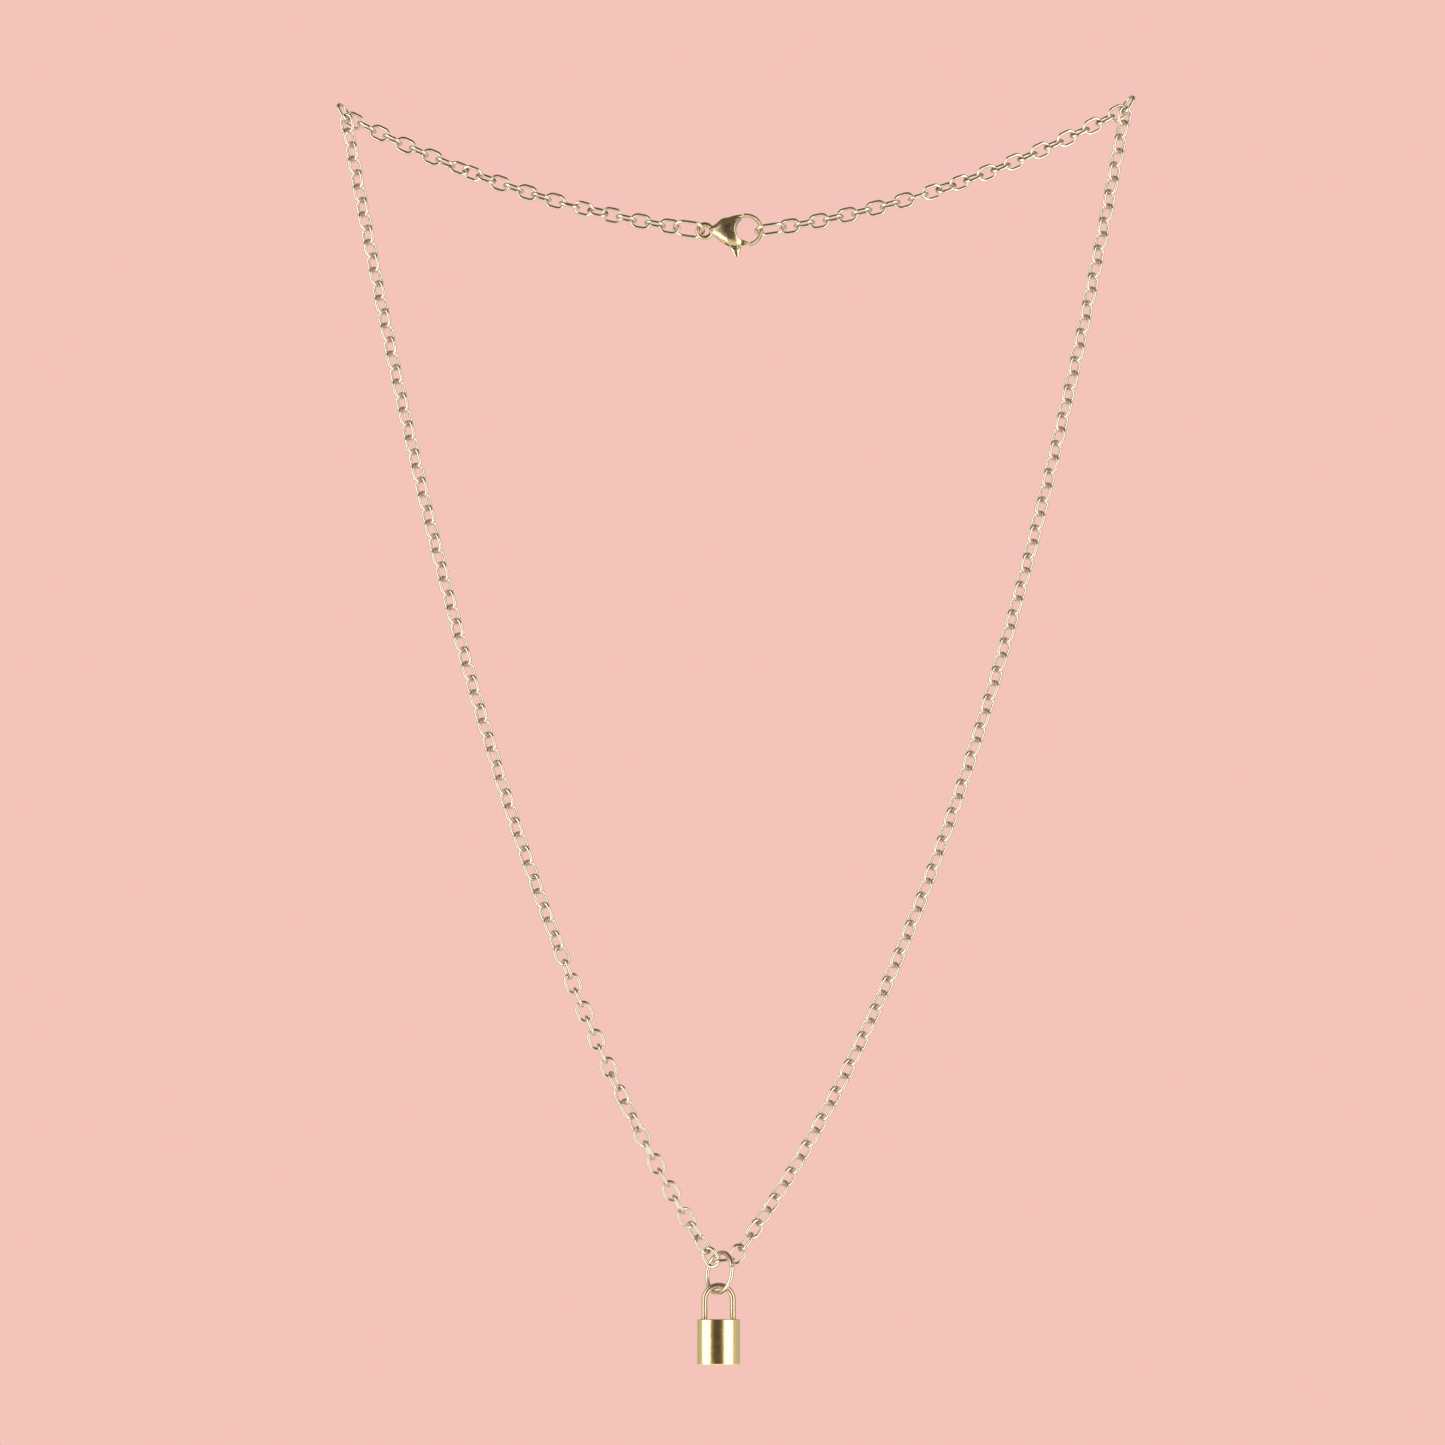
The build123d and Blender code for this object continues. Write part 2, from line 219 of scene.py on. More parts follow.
class Bench:
    """Operator steps that the modelled pieces share, in millimetres until a piece is placed."""

    @staticmethod
    def clear() -> None:
        """Leave nothing selected."""
        bpy.ops.object.select_all(action="DESELECT")

    @staticmethod
    def only(obj: bpy.types.Object) -> None:
        """Select one object alone and make it active.

        Args:
            obj: Object to select.
        """
        Bench.clear()
        obj.select_set(True)
        bpy.context.view_layer.objects.active = obj

    @staticmethod
    def settle() -> bpy.types.Object:
        """Move the active object's place, turn and scale into its mesh.

        Returns:
            The active object.
        """
        bpy.ops.object.transform_apply(location=True, rotation=True, scale=True)
        return bpy.context.object

    @staticmethod
    def open(obj: bpy.types.Object, element: Element, whole: bool = False) -> None:
        """Enter edit mode on one object.

        Args:
            obj: Object to edit.
            element: Selection mode.
            whole: Whether all of it is selected, or nothing.
        """
        Bench.only(obj)
        bpy.ops.object.mode_set(mode="EDIT")
        bpy.ops.mesh.select_mode(type=element.value)
        bpy.ops.mesh.select_all(action="SELECT" if whole else "DESELECT")

    @staticmethod
    def close() -> None:
        """Leave edit mode."""
        bpy.ops.object.mode_set(mode="OBJECT")

    @staticmethod
    def seal() -> None:
        """Turn all faces of a closed piece outward and leave edit mode."""
        bpy.ops.mesh.select_all(action="SELECT")
        bpy.ops.mesh.normals_make_consistent(inside=False)
        Bench.close()

    @staticmethod
    def pick(obj: bpy.types.Object, element: Element, test: Callable[[Vector], bool]) -> None:
        """Select the elements whose corners all pass a test.

        Args:
            obj: Object in edit mode.
            element: What to select.
            test: Called with each corner's place.
        """
        mesh = bmesh.from_edit_mesh(obj.data)
        parts = mesh.edges if element is Element.EDGE else mesh.faces
        for part in parts:
            part.select_set(all(test(corner.co) for corner in part.verts))
        bmesh.update_edit_mesh(obj.data)

    @staticmethod
    def cylinder(
        radius: float, depth: float, place: Triple, corners: int = 48
    ) -> bpy.types.Object:
        """Add a cylinder that stands along Z.

        Args:
            radius: Its radius.
            depth: Its length.
            place: Its centre.
            corners: Sides round it.

        Returns:
            The new object, its place in its mesh.
        """
        Bench.clear()
        bpy.ops.mesh.primitive_cylinder_add(
            vertices=corners, radius=radius, depth=depth, location=place
        )
        return Bench.settle()

    @staticmethod
    def disc(
        radius: float, corners: int, place: Triple | Vector, turn: Triple = (0.0, 0.0, 0.0)
    ) -> bpy.types.Object:
        """Add a filled disc, the section that a bar or wire is drawn from.

        Args:
            radius: Its radius.
            corners: Corners round it.
            place: Its centre.
            turn: Its turn about X, Y and Z, in radians.

        Returns:
            The new object, its place in its mesh.
        """
        Bench.clear()
        bpy.ops.mesh.primitive_circle_add(
            vertices=corners, radius=radius, fill_type="NGON", location=place, rotation=turn
        )
        return Bench.settle()

    @staticmethod
    def block(place: Triple, size: Triple, bearing_deg: float = 0.0) -> bpy.types.Object:
        """Add a box, which serves as a cutter.

        Args:
            place: Its centre.
            size: Its size along X, Y and Z before it is turned.
            bearing_deg: Its turn about Z.

        Returns:
            The new object, its place in its mesh.
        """
        Bench.clear()
        bpy.ops.mesh.primitive_cube_add(
            size=1, location=place, rotation=(0, 0, math.radians(bearing_deg)), scale=size
        )
        return Bench.settle()

    @staticmethod
    def apply(obj: bpy.types.Object, kind: str, **values: object) -> None:
        """Add a modifier, set it and apply it.

        Args:
            obj: Object to change.
            kind: Blender's name of the modifier.
            **values: Its settings.
        """
        Bench.only(obj)
        modifier = obj.modifiers.new(kind.lower(), kind)
        for name, value in values.items():
            setattr(modifier, name, value)
        bpy.ops.object.modifier_apply(modifier=modifier.name)

    @staticmethod
    def cut(obj: bpy.types.Object, tool: bpy.types.Object) -> None:
        """Take a tool's volume away and delete the tool.

        Args:
            obj: Object to cut.
            tool: Closed cutter.
        """
        Bench.apply(obj, "BOOLEAN", operation="DIFFERENCE", solver="EXACT", object=tool)
        Bench.only(tool)
        bpy.ops.object.delete()

    @staticmethod
    def join(pieces: list[bpy.types.Object]) -> bpy.types.Object:
        """Join objects into the first.

        Args:
            pieces: Objects to join.

        Returns:
            The first object, which now holds all meshes.
        """
        Bench.only(pieces[0])
        for piece in pieces[1:]:
            piece.select_set(True)
        bpy.ops.object.join()
        return pieces[0]

    @staticmethod
    def wrap(pieces: list[bpy.types.Object]) -> bpy.types.Object:
        """Join closed pieces and stretch one convex skin over them.

        Args:
            pieces: Closed objects.

        Returns:
            The wrapped object.
        """
        wrapped = Bench.join(pieces)
        Bench.open(wrapped, Element.FACE, whole=True)
        bpy.ops.mesh.convex_hull()
        Bench.close()
        return wrapped

    @staticmethod
    def fuse(obj: bpy.types.Object, voxel: float, rounds: int) -> None:
        """Melt overlapping closed shells into one casting with softened corners.

        Args:
            obj: Object to remesh.
            voxel: Size of a voxel.
            rounds: Smoothing passes.
        """
        Bench.apply(obj, "REMESH", mode="VOXEL", voxel_size=voxel)
        Bench.apply(obj, "SMOOTH", factor=0.5, iterations=rounds)

    @staticmethod
    def shade(obj: bpy.types.Object, angle_deg: float) -> None:
        """Smooth the shading up to an angle between faces.

        Args:
            obj: Object to shade.
            angle_deg: Sharpest angle that is still smooth.
        """
        Bench.only(obj)
        bpy.ops.object.shade_smooth_by_angle(angle=math.radians(angle_deg))


@dataclass
class ModelledPiece:
    """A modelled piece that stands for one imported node.

    Attributes:
        name: Name of the finished object.
        node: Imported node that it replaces.
        body: Body that it moves with.
        finish: Its metal.
        smooth_deg: Sharpest angle shaded smooth.
    """

    name: str
    node: str
    body: str
    finish: GoldFinish
    smooth_deg: float

    def shape(self) -> bpy.types.Object:
        """Model the piece in millimetres.

        Returns:
            The shaped object.
        """
        raise NotImplementedError

    def seat(self) -> Matrix:
        """Seat the piece upright at the middle of its node's box, unless its class differs.

        Returns:
            Transform from the piece's own millimetres to the necklace's metres.
        """
        low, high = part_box(self.node)
        return Matrix.Translation((low + high) / 2) @ Matrix.Scale(MM, 4)

    def build(self, material: bpy.types.Material) -> bpy.types.Object:
        """Model, place, dress and attach the piece.

        Args:
            material: Its finish, built.

        Returns:
            The finished object.
        """
        obj = self.shape()
        obj.name = self.name
        obj.data.name = self.name
        obj.matrix_world = self.seat()
        Bench.only(obj)
        Bench.settle()
        Bench.shade(obj, self.smooth_deg)
        dress(obj, material)
        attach(obj, self.body)
        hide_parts(self.node)
        log.info("%s: %d faces", self.name, len(obj.data.polygons))
        return obj


def joint(name: str) -> dict[str, object]:
    """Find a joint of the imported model.

    Args:
        name: Its name.

    Returns:
        The joint's entry.
    """
    return next(entry for entry in frame["joints"] if entry["name"] == name)


@dataclass
class PadlockBarrel(ModelledPiece):
    """Oval barrel with rolled rims and two chamfered sockets.

    Attributes:
        width: Its size across.
        depth: Its size front to back.
        height: Its height.
        rim: Size of the rolled rims.
        rim_steps: Faces across a rim.
        corners: Sides round it.
        socket_spacing: Distance between the sockets' middles.
        socket_radius: Radius of a socket.
        socket_depth: Depth of a socket.
        socket_chamfer: Size of a socket's chamfer.
    """

    width: float = 7.5
    depth: float = 5.19
    height: float = 7.85
    rim: float = 0.22
    rim_steps: int = 4
    corners: int = 128
    socket_spacing: float = 4.97
    socket_radius: float = 0.565
    socket_depth: float = 1.25
    socket_chamfer: float = 0.06

    def shape(self) -> bpy.types.Object:
        """Squeeze a cylinder to an oval, roll its rims and sink the sockets.

        Returns:
            The barrel.
        """
        top = self.height / 2
        barrel = Bench.cylinder(self.width / 2, self.height, (0, 0, 0), self.corners)
        Bench.open(barrel, Element.EDGE, whole=True)
        bpy.ops.transform.resize(
            value=(1, self.depth / self.width, 1), center_override=(0, 0, 0)
        )
        for side in (-1, 1):
            Bench.pick(barrel, Element.EDGE, lambda c, s=side: abs(c.z - s * top) < ON_PLANE)
            bpy.ops.mesh.bevel(offset=self.rim, segments=self.rim_steps, profile=0.5)
        Bench.close()
        for side in (-1, 1):
            place = (side * self.socket_spacing / 2, 0, top)
            Bench.cut(barrel, Bench.cylinder(self.socket_radius, 2 * self.socket_depth, place))
            Bench.open(barrel, Element.EDGE)
            Bench.pick(barrel, Element.EDGE, lambda c, p=place: self._on_socket(c, p))
            bpy.ops.mesh.bevel(offset=self.socket_chamfer, segments=2, profile=0.5)
            Bench.close()
        return barrel

    def _on_socket(self, corner: Vector, place: Triple) -> bool:
        """Tell whether a corner lies on a socket's rim.

        Args:
            corner: Corner of an edge.
            place: Middle of the socket at the top face.

        Returns:
            True on the rim.
        """
        reach = math.hypot(corner.x - place[0], corner.y - place[1])
        return abs(corner.z - place[2]) < ON_PLANE and abs(reach - self.socket_radius) < ON_CIRCLE


@dataclass
class PadlockBow(ModelledPiece):
    """Round-wire shackle spun over its crown, with rounded feet in the sockets.

    Attributes:
        spacing: Distance between the legs' middles.
        wire: Diameter of the wire.
        height: Its height from the feet to the crown.
        corners: Corners round the wire.
        steps: Steps over the crown.
        foot: Size of the bevel at the feet.
    """

    spacing: float = 4.97
    wire: float = 1.03
    height: float = 7.5
    corners: int = 28
    steps: int = 48
    foot: float = 0.12

    def shape(self) -> bpy.types.Object:
        """Draw the wire up one leg, over the crown and down the other.

        Returns:
            The shackle.
        """
        foot_z = -self.height / 2
        bend_z = self.height / 2 - (self.spacing + self.wire) / 2
        rise = bend_z - foot_z
        bow = Bench.disc(self.wire / 2, self.corners, (-self.spacing / 2, 0, foot_z))
        Bench.open(bow, Element.FACE, whole=True)
        bpy.ops.mesh.extrude_region_move(TRANSFORM_OT_translate={"value": (0, 0, rise)})
        bpy.ops.mesh.spin(
            steps=self.steps, angle=-math.pi, center=(0, 0, bend_z), axis=(0, 1, 0)
        )
        bpy.ops.mesh.extrude_region_move(TRANSFORM_OT_translate={"value": (0, 0, -rise)})
        Bench.close()
        Bench.open(bow, Element.EDGE)
        Bench.pick(bow, Element.EDGE, lambda c: abs(c.z - foot_z) < ON_PLANE)
        bpy.ops.mesh.bevel(offset=self.foot, segments=2, profile=0.5)
        Bench.seal()
        return bow


@dataclass
class JumpRing(ModelledPiece):
    """Round-wire ring spun round nearly once, so that its cut ends almost meet.

    Attributes:
        radius: Radius of the wire's middle line.
        wire: Diameter of the wire.
        slit_deg: Width of the slit between the ends.
        slit_at_deg: Bearing of the slit.
        corners: Corners round the wire.
        steps: Steps round the ring.
        end_chamfer: Size of the chamfer at the ends.
        sharp_deg: Sharpest angle that isn't chamfered.
    """

    radius: float = 3.55
    wire: float = 0.8
    slit_deg: float = 1.1
    slit_at_deg: float = 7.0
    corners: int = 24
    steps: int = 96
    end_chamfer: float = 0.04
    sharp_deg: float = 60.0

    def shape(self) -> bpy.types.Object:
        """Spin the wire round in the ring's own XY plane and chamfer its ends.

        Returns:
            The ring.
        """
        start = math.radians(self.slit_at_deg + self.slit_deg / 2)
        place = Vector((math.cos(start), math.sin(start), 0)) * self.radius
        ring = Bench.disc(self.wire / 2, self.corners, place, (math.pi / 2, 0, start))
        Bench.open(ring, Element.FACE, whole=True)
        sweep = 2 * math.pi - math.radians(self.slit_deg)
        bpy.ops.mesh.spin(steps=self.steps, angle=-sweep, center=(0, 0, 0), axis=(0, 0, 1))
        Bench.seal()
        Bench.apply(
            ring,
            "BEVEL",
            width=self.end_chamfer,
            segments=2,
            limit_method="ANGLE",
            angle_limit=math.radians(self.sharp_deg),
        )
        return ring

    def seat(self) -> Matrix:
        """Seat from the padlock's swing, which turns about the wire at the ring's lowest point.

        Returns:
            Transform from the ring's own plane to the necklace.
        """
        swing = joint("padlock_swing")
        low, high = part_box(self.node)
        middle = (low + high) / 2
        side = Vector(swing["axis"]).normalized()
        up = (middle - Vector(swing["pos_m"])).normalized()
        up = (up - side * up.dot(side)).normalized()
        centre = Vector(swing["pos_m"]) + up * self.radius * MM
        turn = Matrix((side, up, side.cross(up))).transposed().to_4x4()
        return Matrix.Translation(centre) @ turn @ Matrix.Scale(MM, 4)


@dataclass(frozen=True)
class ClaspPlan:
    """Places and sizes that the clasp's casting and lever share, in the clasp's own plane.

    X runs from the ring's end to the hook, Y up, and Z towards the viewer.

    Attributes:
        hook: Centre of the hook.
        pivot: Middle of the lever's pin.
        hook_radius: Outer radius of the hook.
        bar: Width of the hook's bar in the clasp's plane.
        bar_depth: Size of the bar towards the viewer.
        bar_steps: Steps along the bar.
        pin_radius: Radius of the pin.
        reach: Distance from the pivot to the gate's tip.
        thickness: Thickness of the dome.
    """

    hook: tuple[float, float] = (9.30, 0.18)
    pivot: tuple[float, float] = (6.35, -1.40)
    hook_radius: float = 3.15
    bar: float = 0.70
    bar_depth: float = 1.3
    bar_steps: int = 40
    pin_radius: float = 0.25
    reach: float = 3.70
    thickness: float = 2.8

    @property
    def bar_radius(self) -> float:
        """Radius of the bar's middle line."""
        return self.hook_radius - self.bar / 2

    def on_bar(self, bearing_deg: float) -> Triple:
        """Point on the hook's middle line.

        Args:
            bearing_deg: Bearing from the hook's centre.

        Returns:
            The point.
        """
        turn = math.radians(bearing_deg)
        return (
            self.hook[0] + self.bar_radius * math.cos(turn),
            self.hook[1] + self.bar_radius * math.sin(turn),
            0.0,
        )

    def sweep(self, bearings: tuple[float, float], corners: int) -> bpy.types.Object:
        """Spin an oval section along the hook's middle line.

        Args:
            bearings: First and last bearing, in degrees, running clockwise.
            corners: Corners of the section.

        Returns:
            The closed bar.
        """
        first, last = bearings
        start = self.on_bar(first)
        turn = (math.pi / 2, 0, math.radians(first))
        bar = Bench.disc(self.bar / 2, corners, start, turn)
        Bench.open(bar, Element.FACE, whole=True)
        bpy.ops.transform.resize(value=(1, 1, self.bar_depth / self.bar), center_override=start)
        bpy.ops.mesh.spin(
            steps=self.bar_steps,
            angle=math.radians(first - last),
            center=(*self.hook, 0),
            axis=(0, 0, 1),
        )
        Bench.seal()
        return bar

    def seat(self) -> Matrix:
        """Seat from the lever's hinge, which is the pivot.

        Returns:
            Transform from the clasp's plane to the necklace.
        """
        turn = Matrix(((1, 0, 0), (0, 0, -1), (0, 1, 0))).to_4x4()
        offset = Matrix.Translation((-self.pivot[0], -self.pivot[1], 0))
        pivot = Matrix.Translation(Vector(joint("lever_hinge")["pos_m"]))
        return pivot @ Matrix.Scale(MM, 4) @ turn @ offset


@dataclass
class ClaspPiece(ModelledPiece):
    """A piece of the clasp, modelled in the clasp's own plane.

    Attributes:
        plan: Places and sizes that the clasp's pieces share.
    """

    plan: ClaspPlan = ClaspPlan()

    def seat(self) -> Matrix:
        """Seat from the lever's hinge."""
        return self.plan.seat()


def eased(before: float, start: float, end: float, after: float, share: float) -> float:
    """Find a value on the smooth curve through four values.

    Args:
        before: Value before the stretch.
        start: Value at its start.
        end: Value at its end.
        after: Value after it.
        share: Place along the stretch, from 0 to 1.

    Returns:
        The value there.
    """
    return (
        start
        + share * (end - before) / 2
        + share**2 * (before - 2.5 * start + 2 * end - after / 2)
        + share**3 * (1.5 * (start - end) + (after - before) / 2)
    )


@dataclass
class ClaspCasting(ClaspPiece):
    """Ring, domed body and hook bar melted into one casting, slotted for its lever.

    Attributes:
        ring_radius: Radius of the ring's middle line.
        ring_wire: Thickness of the ring.
        ring_steps: Steps round the ring.
        ring_corners: Corners round its wire.
        sections: Rows of X, middle Y, height and thickness along the dome.
        easing: Sections that stand for each one after the curve is drawn.
        dome_corners: Corners of a section.
        mouth: Centre X and Y, and the two radii of the oval mouth.
        mouth_flare: How much the mouth widens at the two faces.
        mouth_straight: Part of it, each way from the middle, that is straight.
        mouth_rise: Part of it, each way, over which the cutter flares.
        slot_corner: Inner upper corner of the lever's slot, X and Y.
        slot_size: Size of the slot's cutter along X, Y and Z.
        bar_bearings: Bearings of the bar's two ends, in degrees.
        bar_corners: Corners of the bar's section.
        arc_corners: Sides of the round cutters.
        tip_gap: Gap between the gate's tip and the bar's.
        window: Centre X and Y and bearing of the window under the upper tip.
        window_size: Length and width of the window.
        groove_deg: Bearing of the groove where the bar leaves the dome.
        groove_width: Width of the groove.
        groove_depth: Depth of the groove.
        groove_tool: Length of the groove's cutter.
        pin_share: Length of the pin as a share of the dome's thickness.
        voxel: Size of a voxel when the casting is melted.
        rounds: Smoothing passes after it.
    """

    ring_radius: float = 1.275
    ring_wire: float = 0.85
    ring_steps: int = 72
    ring_corners: int = 28
    sections: tuple[tuple[float, float, float, float], ...] = (
        (2.72, 0.00, 1.73, 1.46),
        (3.20, 0.05, 2.00, 1.70),
        (3.70, 0.06, 2.60, 2.00),
        (4.69, 0.13, 4.29, 2.50),
        (5.40, 0.02, 5.00, 2.72),
        (6.03, -0.12, 5.50, 2.80),
        (6.80, -0.10, 5.95, 2.74),
        (7.42, -0.06, 6.20, 2.62),
        (8.00, 0.00, 6.22, 2.32),
        (8.46, 0.05, 5.95, 1.90),
    )
    easing: int = 4
    dome_corners: int = 56
    mouth: tuple[float, float, float, float] = (9.62, 0.14, 2.12, 2.44)
    mouth_flare: float = 0.34
    mouth_straight: float = 0.35
    mouth_rise: float = 0.75
    slot_corner: tuple[float, float] = (5.43, -0.48)
    slot_size: Triple = (3.6, 8.0, 1.0)
    bar_bearings: tuple[float, float] = (118.0, -100.0)
    bar_corners: int = 32
    arc_corners: int = 96
    tip_gap: float = 0.1
    window: Triple = (7.76, 2.02, 54.0)
    window_size: tuple[float, float] = (1.05, 0.2)
    groove_deg: float = 102.0
    groove_width: float = 0.30
    groove_depth: float = 0.52
    groove_tool: float = 2.0
    pin_share: float = 0.8
    voxel: float = 0.056
    rounds: int = 6

    def shape(self) -> bpy.types.Object:
        """Cut the dome and the bar, melt them together with the ring, and slot the casting.

        Returns:
            The casting with its pin.
        """
        dome = self._dome()
        Bench.cut(dome, self._mouth_tool())
        Bench.cut(dome, self._window_tool())
        bar = self.plan.sweep(self.bar_bearings, self.bar_corners)
        pivot = (*self.plan.pivot, 0)
        reach = self.plan.reach + self.tip_gap
        Bench.cut(bar, Bench.cylinder(reach, THROUGH, pivot, self.arc_corners))
        Bench.cut(bar, self._groove_tool())
        Bench.cut(dome, self._groove_tool())
        Bench.clear()
        bpy.ops.mesh.primitive_torus_add(
            major_segments=self.ring_steps,
            minor_segments=self.ring_corners,
            major_radius=self.ring_radius,
            minor_radius=self.ring_wire / 2,
            location=(self.ring_radius + self.ring_wire / 2, 0, 0),
        )
        casting = Bench.join([dome, bar, Bench.settle()])
        Bench.fuse(casting, self.voxel, self.rounds)
        Bench.cut(casting, self._slot_tool())
        length = self.plan.thickness * self.pin_share
        return Bench.join([casting, Bench.cylinder(self.plan.pin_radius, length, pivot)])

    def _dome(self) -> bpy.types.Object:
        """Extrude and resize an oval along the dome's sections.

        Returns:
            The closed dome.
        """
        first, *later = self._eased_sections()
        x, y, height, thickness = first
        dome = Bench.disc(1, self.dome_corners, (x, y, 0), (0, math.pi / 2, 0))
        Bench.open(dome, Element.FACE, whole=True)
        bpy.ops.transform.resize(
            value=(1, height / 2, thickness / 2), center_override=(x, y, 0)
        )
        for next_x, next_y, next_height, next_thickness in later:
            step = (next_x - x, next_y - y, 0)
            bpy.ops.mesh.extrude_region_move(TRANSFORM_OT_translate={"value": step})
            x, y = next_x, next_y
            bpy.ops.transform.resize(
                value=(1, next_height / height, next_thickness / thickness),
                center_override=(x, y, 0),
            )
            height, thickness = next_height, next_thickness
        Bench.seal()
        return dome

    def _eased_sections(self) -> list[tuple[float, ...]]:
        """Draw smooth curves through the sections, so that the dome has no creases.

        Returns:
            The sections with new ones between them.
        """
        rows = (self.sections[0], *self.sections, self.sections[-1])
        drawn = [self.sections[0]]
        for four in zip(rows, rows[1:], rows[2:], rows[3:]):
            for step in range(1, self.easing + 1):
                drawn.append(tuple(eased(*values, step / self.easing) for values in zip(*four)))
        return drawn

    def _mouth_tool(self) -> bpy.types.Object:
        """Oval cutter that flares to both faces, which leaves the rolled rim.

        Returns:
            The cutter.
        """
        x, y, wide, tall = self.mouth
        grow = (wide + self.mouth_flare) / wide
        straight = self.plan.thickness * self.mouth_straight
        tool = Bench.cylinder(wide, straight, (x, y, 0), self.arc_corners)
        Bench.open(tool, Element.FACE, whole=True)
        bpy.ops.transform.resize(value=(1, tall / wide, 1), center_override=(x, y, 0))
        for side in (-1, 1):
            level = side * straight / 2
            rise = side * self.plan.thickness / 2 * self.mouth_rise
            Bench.pick(tool, Element.FACE, lambda c, z=level: abs(c.z - z) < ON_PLANE)
            bpy.ops.mesh.extrude_region_move(TRANSFORM_OT_translate={"value": (0, 0, rise)})
            bpy.ops.transform.resize(value=(grow, grow, 1), center_override=(x, y, level + rise))
        Bench.close()
        return tool

    def _slot_tool(self) -> bpy.types.Object:
        """Cutter for the slot that the lever turns in.

        Returns:
            The cutter.
        """
        left, top = self.slot_corner
        reach, drop, _ = self.slot_size
        return Bench.block((left + reach / 2, top - drop / 2, 0), self.slot_size)

    def _window_tool(self) -> bpy.types.Object:
        """Cutter for the slim window under the upper tip.

        Returns:
            The cutter.
        """
        x, y, bearing = self.window
        return Bench.block((x, y, 0), (*self.window_size, THROUGH), bearing)

    def _groove_tool(self) -> bpy.types.Object:
        """Cutter for the groove where the hook bar leaves the dome's upper tip.

        Returns:
            The cutter.
        """
        x, y, _ = self.plan.on_bar(self.groove_deg)
        turn = math.radians(self.groove_deg)
        out = (self.plan.bar + self.groove_tool) / 2 - self.groove_depth
        place = (x + out * math.cos(turn), y + out * math.sin(turn), 0)
        size = (self.groove_tool, self.groove_width, THROUGH)
        return Bench.block(place, size, self.groove_deg)


@dataclass
class ClaspLever(ClaspPiece):
    """Gate, hub and rounded thumb tab melted into one lever, drilled for the pin.

    Attributes:
        thickness: Thickness of the hub.
        hub_radius: Radius of the hub.
        gate: Rows of X, Y and radius along the gate, from the pivot.
        tab: Rows of X, Y and radius of the tab's root and tip, from the pivot.
        flatness: Thickness of a bead as a share of its width.
        bead_rings: Rings of a bead's mesh, which has twice as many segments.
        pin_gap: Gap round the pin.
        voxel: Size of a voxel when the lever is melted.
        rounds: Smoothing passes after it.
    """

    thickness: float = 0.8
    hub_radius: float = 0.70
    gate: tuple[Triple, ...] = (
        (0.0, 0.0, 0.70),
        (1.45, -0.68, 0.70),
        (2.50, -0.98, 0.60),
        (3.21, -1.06, 0.38),
    )
    tab: tuple[Triple, Triple] = ((1.00, -1.72, 1.02), (1.26, -3.30, 0.38))
    flatness: float = 0.46
    bead_rings: int = 18
    pin_gap: float = 0.06
    voxel: float = 0.055
    rounds: int = 3

    def shape(self) -> bpy.types.Object:
        """Wrap beads and posts into spans, melt them together and drill the lever.

        Returns:
            The lever.
        """
        root_x, root_y, _ = self.tab[0]
        hub = self._post(0, 0)
        spans = [
            Bench.wrap([self._bead(*row) for row in pair]) for pair in zip(self.gate, self.gate[1:])
        ]
        tab = Bench.wrap([self._bead(*row) for row in self.tab])
        neck = Bench.wrap([self._post(0, 0), self._post(root_x, root_y)])
        lever = Bench.join([hub, neck, tab, *spans])
        Bench.fuse(lever, self.voxel, self.rounds)
        bore = self.plan.pin_radius + self.pin_gap
        Bench.cut(lever, Bench.cylinder(bore, THROUGH, (*self.plan.pivot, 0)))
        return lever

    def _post(self, out: float, up: float) -> bpy.types.Object:
        """Add a round post of the hub's size.

        Args:
            out: X from the pivot.
            up: Y from the pivot.

        Returns:
            The post.
        """
        place = (self.plan.pivot[0] + out, self.plan.pivot[1] + up, 0)
        return Bench.cylinder(self.hub_radius, self.thickness, place)

    def _bead(self, out: float, up: float, radius: float) -> bpy.types.Object:
        """Add a flattened bead of the gate or tab.

        Args:
            out: X from the pivot.
            up: Y from the pivot.
            radius: Its radius in the clasp's plane.

        Returns:
            The bead.
        """
        Bench.clear()
        bpy.ops.mesh.primitive_uv_sphere_add(
            segments=2 * self.bead_rings,
            ring_count=self.bead_rings,
            radius=radius,
            location=(self.plan.pivot[0] + out, self.plan.pivot[1] + up, 0),
            scale=(1, 1, self.flatness),
        )
        return Bench.settle()


@dataclass
class PackedChain:
    """Chains and end links, shown in the shape in which they are packed.

    Attributes:
        finish: Their metal.
        nodes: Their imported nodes.
    """

    finish: GoldFinish
    nodes: tuple[str, ...] = ("chain_left", "chain_right", "end_link_left", "end_link_right")

    def dress_all(self, material: bpy.types.Material) -> None:
        """Dress every node.

        Args:
            material: Its finish, built.
        """
        for name in self.nodes:
            dress(frame["nodes"][name], material)
            log.info("dressed %s in %s", name, self.finish.name)


def glow(brightness: float) -> Triple:
    """Colour of a wall of the tent, warmer where it is dim.

    Args:
        brightness: How bright it is, in red.

    Returns:
        Its colour, linear.
    """
    white = min(1.0, brightness / WHITE_FROM)
    green = DIM_GREEN + (1 - DIM_GREEN) * white
    blue = DIM_BLUE + (1 - DIM_BLUE) * white
    return brightness, brightness * green, brightness * blue


